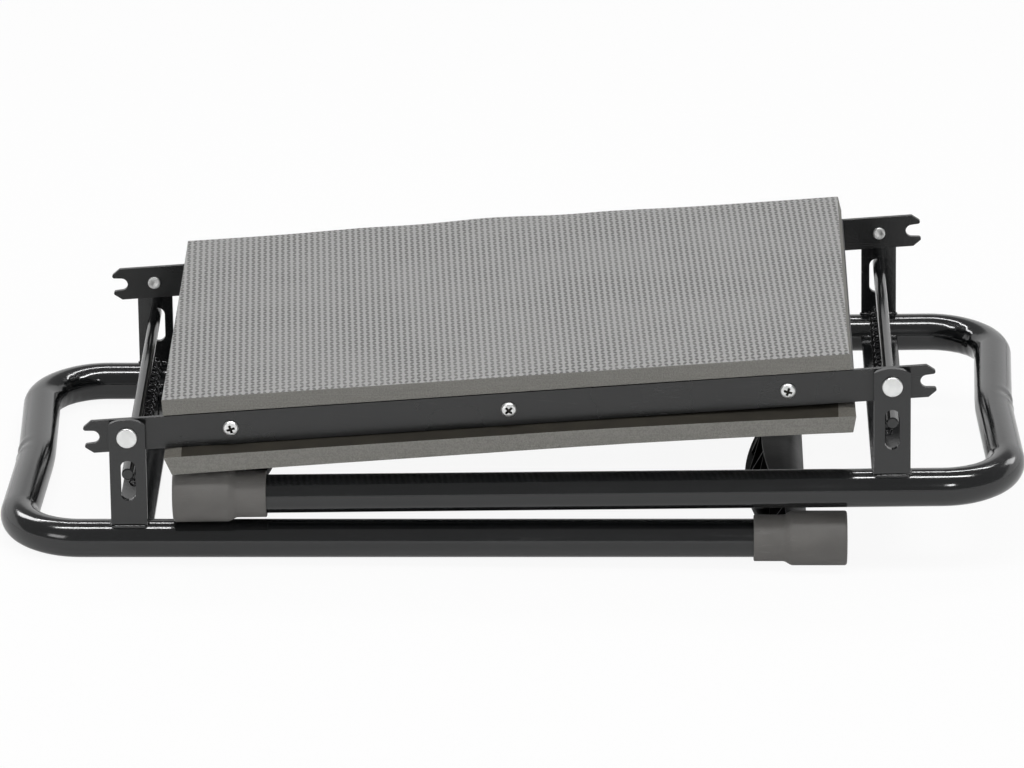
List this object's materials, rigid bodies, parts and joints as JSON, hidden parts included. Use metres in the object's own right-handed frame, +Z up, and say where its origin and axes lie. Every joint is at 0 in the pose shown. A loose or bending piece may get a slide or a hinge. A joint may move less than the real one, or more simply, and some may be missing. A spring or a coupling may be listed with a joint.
{
  "type": "folding kneeling stool",
  "caption": "Folding kneeling stool lying folded flat: padded seat on two flat rails between two bent tube leg frames with foot caps.",
  "frame": {"origin": "centre of the folded stool's base on the floor", "axes": "+X along the leg tubes from the arc of the lower frame to the arc of the upper frame, +Y away from the viewer across the stool, +Z up"},
  "size_m": [0.5888, 0.2704, 0.1301],
  "materials": {
    "black_gloss_paint": "gloss black powder coat",
    "grey_satin_paint": "satin dark grey paint",
    "spring_wire": "drawn spring wire",
    "zinc_steel": "bright zinc plated",
    "nylon": "plain",
    "grey_rubber": "matt grey moulded",
    "black_plastic": "moulded, half matt",
    "board_plastic": "plain",
    "grey_foam": "embossed closed-cell foam, dashed pattern"
  },
  "bodies": {
    "leg_frame_a": {"a_bracket_front": "black_gloss_paint", "a_bracket_rear": "black_gloss_paint", "a_cross_plate": "black_gloss_paint", "a_foot_cap_front": "grey_rubber", "a_foot_cap_rear": "grey_rubber", "a_hand_grip": "black_plastic", "a_leg_tube": "black_gloss_paint", "a_lock_spring": "spring_wire"},
    "seat": {"a_pivot_rivet_front": "zinc_steel", "a_pivot_rivet_rear": "zinc_steel", "a_washer_front": "nylon", "a_washer_rear": "nylon", "b_pivot_rivet_front": "zinc_steel", "b_pivot_rivet_rear": "zinc_steel", "b_washer_front": "nylon", "b_washer_rear": "nylon", "pad_lower": "grey_foam", "pad_upper": "grey_foam", "rail_front": "grey_satin_paint", "rail_rear": "grey_satin_paint", "seat_board": "board_plastic", "seat_screw_front_1": "zinc_steel", "seat_screw_front_2": "zinc_steel", "seat_screw_front_3": "zinc_steel", "seat_screw_rear_1": "zinc_steel", "seat_screw_rear_2": "zinc_steel", "seat_screw_rear_3": "zinc_steel"},
    "leg_frame_b": {"b_bracket_front": "black_gloss_paint", "b_bracket_rear": "black_gloss_paint", "b_cross_plate": "black_gloss_paint", "b_foot_cap_front": "grey_rubber", "b_foot_cap_rear": "grey_rubber", "b_hand_grip": "black_plastic", "b_leg_tube": "black_gloss_paint", "b_lock_spring": "spring_wire"},
    "lock_bar_a": {"a_lock_bar": "black_gloss_paint"},
    "lock_bar_b": {"b_lock_bar": "black_gloss_paint"}
  },
  "joints": [
    {"name": "seat_fold", "type": "hinge", "parent": "leg_frame_a", "child": "seat", "pos_m": [-0.21788, -0.122, 0.07599], "axis": [0, -1, 0], "range_deg": [0, 85.89]},
    {"name": "leg_b_fold", "type": "hinge", "parent": "seat", "child": "leg_frame_b", "pos_m": [0.21585, -0.122, 0.11175], "axis": [0, -1, 0], "range_deg": [0, 93.5]},
    {"name": "lock_bar_a_slide", "type": "slide", "parent": "leg_frame_a", "child": "lock_bar_a", "axis": [0.0104, 0, -0.9999], "range_m": [-0.0005, 0.0125], "deforming": ["a_lock_spring"]},
    {"name": "lock_bar_b_slide", "type": "slide", "parent": "leg_frame_b", "child": "lock_bar_b", "axis": [0.0209, 0, -0.9998], "range_m": [-0.0005, 0.0125], "stiffness_N_per_m": 1500, "springref_m": -0.0005, "deforming": ["b_lock_spring"]}
  ],
  "couplings": [
    {"joint": "leg_b_fold", "follows": "seat_fold", "ratio": 0.08},
    {"joint": "lock_bar_a_slide", "follows": "seat_fold", "m_per_rad": 0.0055}
  ]
}
